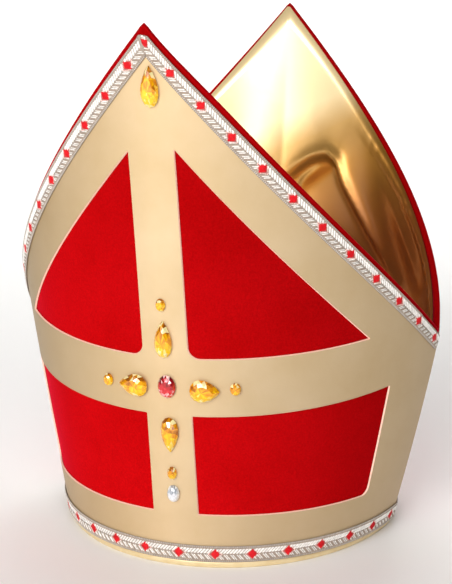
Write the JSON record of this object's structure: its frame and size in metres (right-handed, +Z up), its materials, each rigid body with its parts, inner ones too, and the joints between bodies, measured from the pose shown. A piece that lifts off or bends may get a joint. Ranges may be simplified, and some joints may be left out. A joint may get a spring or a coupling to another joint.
{
  "type": "bishop mitre",
  "caption": "Bishop mitre with two pointed velvet horns, a gold overlay with window cut-outs, woven diamond braid, satin lining between the horns and glued faceted gems.",
  "frame": {"origin": "on the floor, at the middle of the outline seen from above", "axes": "+Z up through the horns, -Y towards the front horn with the cross, +X to the right seen from the front"},
  "size_m": [0.2704, 0.2457, 0.314],
  "materials": {
    "velvet": "short-pile red velvet over stiffener",
    "gold_leatherette": "smooth pale gold leatherette with a soft sheen",
    "braid": "woven silver-white braid with red diamonds",
    "satin": "glossy gold satin",
    "acrylic_amber": "faceted amber acrylic with foil back",
    "acrylic_red": "faceted red acrylic with foil back",
    "acrylic_clear": "faceted clear acrylic with foil back"
  },
  "bodies": {
    "root": {"front_wall": "velvet", "back_wall": "velvet", "front_overlay": "gold_leatherette", "front_edge_braid_left": "braid", "front_edge_braid_right": "braid", "back_edge_braid_left": "braid", "back_edge_braid_right": "braid", "rim_braid": "braid", "rim_roll": "satin", "front_lining": "satin", "back_lining": "satin", "gem_drop_apex": "acrylic_amber", "gem_bead_upper": "acrylic_amber", "gem_drop_upper": "acrylic_amber", "gem_oval_centre": "acrylic_red", "gem_drop_left": "acrylic_amber", "gem_bead_left": "acrylic_amber", "gem_drop_right": "acrylic_amber", "gem_bead_right": "acrylic_amber", "gem_drop_lower": "acrylic_amber", "gem_bead_lower": "acrylic_amber", "gem_oval_clear": "acrylic_clear"}
  },
  "joints": []
}
